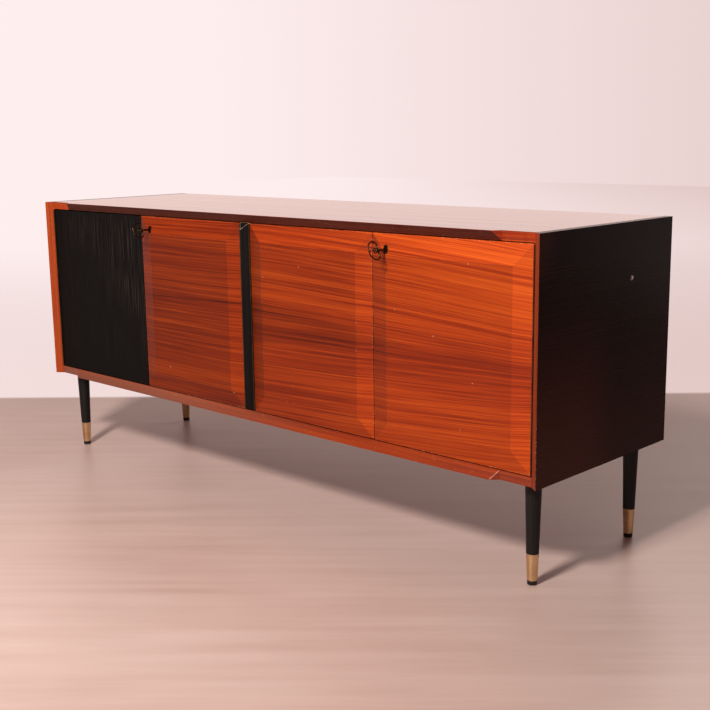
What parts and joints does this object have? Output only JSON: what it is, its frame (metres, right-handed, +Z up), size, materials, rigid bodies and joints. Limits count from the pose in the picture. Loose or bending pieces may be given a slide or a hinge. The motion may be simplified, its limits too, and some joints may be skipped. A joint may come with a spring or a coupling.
{
  "type": "radio phonograph console",
  "caption": "Long low console on tapered brass-tipped legs, with bevelled doors, a black far-left door, and a radio and record player inside.",
  "frame": {"origin": "on the floor, under the middle of the whole object", "axes": "+X along the width, towards the side panel with the brass stud; the front with the doors and keys faces -Y; +Z up"},
  "size_m": [1.75, 0.553, 0.74],
  "materials": {
    "rosewood": "satin lacquered veneer, horizontal grain",
    "dark_rosewood": "glossy lacquered dark veneer",
    "black_wood": "black lacquer, satin",
    "plain_wood": "plain oiled board",
    "hardboard": "raw hardboard",
    "brass": "satin, lightly worn",
    "glide_plastic": "matte",
    "hinge_steel": "browned steel",
    "dark_brass": "dark patinated",
    "lock_steel": "zinc plated",
    "fascia_plastic": "glossy",
    "dial_glass": "clear",
    "ivory_plastic": "glossy",
    "cream_paint": "semi-gloss paint",
    "platter_metal": "turned",
    "swivel_metal": "blackened",
    "speaker_paper": "pressed paper cone, painted basket"
  },
  "bodies": {
    "cabinet": {"bottom_panel": "rosewood", "top_panel": "dark_rosewood", "side_panel_left": "dark_rosewood", "side_panel_right": "dark_rosewood", "divider_ridge": "black_wood", "speaker_baffle": "black_wood", "leg_front_left": "black_wood", "leg_front_right": "black_wood", "leg_back_left": "black_wood", "leg_back_right": "black_wood", "centre_partition": "plain_wood", "bay_partition": "plain_wood", "player_deck": "plain_wood", "storage_shelf": "plain_wood", "back_panel_left": "hardboard", "back_panel_right": "hardboard", "side_stud": "brass", "ferrule_front_left": "brass", "ferrule_front_right": "brass", "ferrule_back_left": "brass", "ferrule_back_right": "brass", "glide_front_left": "glide_plastic", "glide_front_right": "glide_plastic", "glide_back_left": "glide_plastic", "glide_back_right": "glide_plastic", "hinge_leaf_fixed_far_left": "hinge_steel", "hinge_leaf_fixed_inner_left": "hinge_steel", "hinge_leaf_fixed_inner_right": "hinge_steel", "hinge_leaf_fixed_far_right": "hinge_steel", "radio_chassis": "lock_steel", "radio_fascia": "fascia_plastic", "dial_glass": "dial_glass", "player_plate": "cream_paint", "loudspeaker": "speaker_paper"},
    "door_far_left": {"door_far_left": "black_wood", "hinge_leaf_door_far_left": "hinge_steel"},
    "door_inner_left": {"door_inner_left": "rosewood", "hinge_leaf_door_inner_left": "hinge_steel", "escutcheon_inner_left": "dark_brass", "lock_case_inner_left": "lock_steel"},
    "door_inner_right": {"door_inner_right": "rosewood", "hinge_leaf_door_inner_right": "hinge_steel"},
    "door_far_right": {"door_far_right": "rosewood", "hinge_leaf_door_far_right": "hinge_steel", "escutcheon_far_right": "dark_brass", "lock_case_far_right": "lock_steel"},
    "key_inner_left": {"key_inner_left": "dark_brass"},
    "lock_bolt_inner_left": {"lock_bolt_inner_left": "lock_steel"},
    "key_far_right": {"key_far_right": "dark_brass"},
    "lock_bolt_far_right": {"lock_bolt_far_right": "lock_steel"},
    "tuning_knob": {"tuning_knob": "ivory_plastic"},
    "volume_knob": {"volume_knob": "ivory_plastic"},
    "tone_knob": {"tone_knob": "ivory_plastic"},
    "dial_pointer": {"dial_pointer": "ivory_plastic"},
    "push_button_1": {"push_button_1": "ivory_plastic"},
    "push_button_2": {"push_button_2": "ivory_plastic"},
    "push_button_3": {"push_button_3": "ivory_plastic"},
    "platter": {"platter": "platter_metal"},
    "tonearm_swivel": {"tonearm_swivel": "swivel_metal"},
    "tonearm": {"tonearm": "ivory_plastic"}
  },
  "joints": [
    {"name": "door_far_left_hinge", "type": "hinge", "parent": "cabinet", "child": "door_far_left", "pos_m": [-0.8535, -0.2173, 0.484], "axis": [0, 0, -1], "range_deg": [0, 100]},
    {"name": "door_inner_left_hinge", "type": "hinge", "parent": "cabinet", "child": "door_inner_left", "pos_m": [-0.017, -0.2173, 0.484], "axis": [0, 0, 1], "range_deg": [0, 85]},
    {"name": "door_inner_right_hinge", "type": "hinge", "parent": "cabinet", "child": "door_inner_right", "pos_m": [0.017, -0.2173, 0.484], "axis": [0, 0, -1], "range_deg": [0, 85]},
    {"name": "door_far_right_hinge", "type": "hinge", "parent": "cabinet", "child": "door_far_right", "pos_m": [0.8535, -0.2173, 0.484], "axis": [0, 0, 1], "range_deg": [0, 100]},
    {"name": "key_inner_left_turn", "type": "hinge", "parent": "door_inner_left", "child": "key_inner_left", "pos_m": [-0.3795, -0.2115, 0.6835], "axis": [0, 1, 0], "range_deg": [0, 90]},
    {"name": "lock_bolt_inner_left_slide", "type": "slide", "parent": "door_inner_left", "child": "lock_bolt_inner_left", "axis": [-1, 0, 0], "range_m": [0, 0.01]},
    {"name": "key_far_right_turn", "type": "hinge", "parent": "door_far_right", "child": "key_far_right", "pos_m": [0.4695, -0.2115, 0.6835], "axis": [0, 1, 0], "range_deg": [0, 90]},
    {"name": "lock_bolt_far_right_slide", "type": "slide", "parent": "door_far_right", "child": "lock_bolt_far_right", "axis": [-1, 0, 0], "range_m": [0, 0.01]},
    {"name": "tuning_turn", "type": "hinge", "parent": "cabinet", "child": "tuning_knob", "pos_m": [-0.074, -0.1565, 0.305], "axis": [0, 1, 0], "range_deg": [0, 1260]},
    {"name": "dial_pointer_slide", "type": "slide", "parent": "cabinet", "child": "dial_pointer", "axis": [1, 0, 0], "range_m": [0, 0.26]},
    {"name": "volume_turn", "type": "hinge", "parent": "cabinet", "child": "volume_knob", "pos_m": [-0.374, -0.1565, 0.305], "axis": [0, 1, 0], "range_deg": [0, 270]},
    {"name": "tone_turn", "type": "hinge", "parent": "cabinet", "child": "tone_knob", "pos_m": [-0.32, -0.1565, 0.305], "axis": [0, 1, 0], "range_deg": [0, 270]},
    {"name": "push_button_1_travel", "type": "slide", "parent": "cabinet", "child": "push_button_1", "axis": [0, 1, 0], "range_m": [0, 0.004], "stiffness_N_per_m": 300, "springref_m": -0.002},
    {"name": "push_button_2_travel", "type": "slide", "parent": "cabinet", "child": "push_button_2", "axis": [0, 1, 0], "range_m": [0, 0.004], "stiffness_N_per_m": 300, "springref_m": -0.002},
    {"name": "push_button_3_travel", "type": "slide", "parent": "cabinet", "child": "push_button_3", "axis": [0, 1, 0], "range_m": [0, 0.004], "stiffness_N_per_m": 300, "springref_m": -0.002},
    {"name": "platter_spin", "type": "hinge", "parent": "cabinet", "child": "platter", "pos_m": [-0.259, 0.0235, 0.495], "axis": [0, 0, 1], "continuous": true},
    {"name": "tonearm_swing", "type": "hinge", "parent": "cabinet", "child": "tonearm_swivel", "pos_m": [-0.085, 0.1435, 0.52], "axis": [0, 0, -1], "range_deg": [0, 40]},
    {"name": "tonearm_lift", "type": "hinge", "parent": "tonearm_swivel", "child": "tonearm", "pos_m": [-0.085, 0.1435, 0.52], "axis": [-1, 0, 0], "range_deg": [0, 15]}
  ],
  "couplings": [
    {"joint": "lock_bolt_inner_left_slide", "follows": "key_inner_left_turn", "m_per_rad": 0.0063662},
    {"joint": "lock_bolt_far_right_slide", "follows": "key_far_right_turn", "m_per_rad": 0.0063662},
    {"joint": "dial_pointer_slide", "follows": "tuning_turn", "m_per_rad": 0.0118}
  ]
}
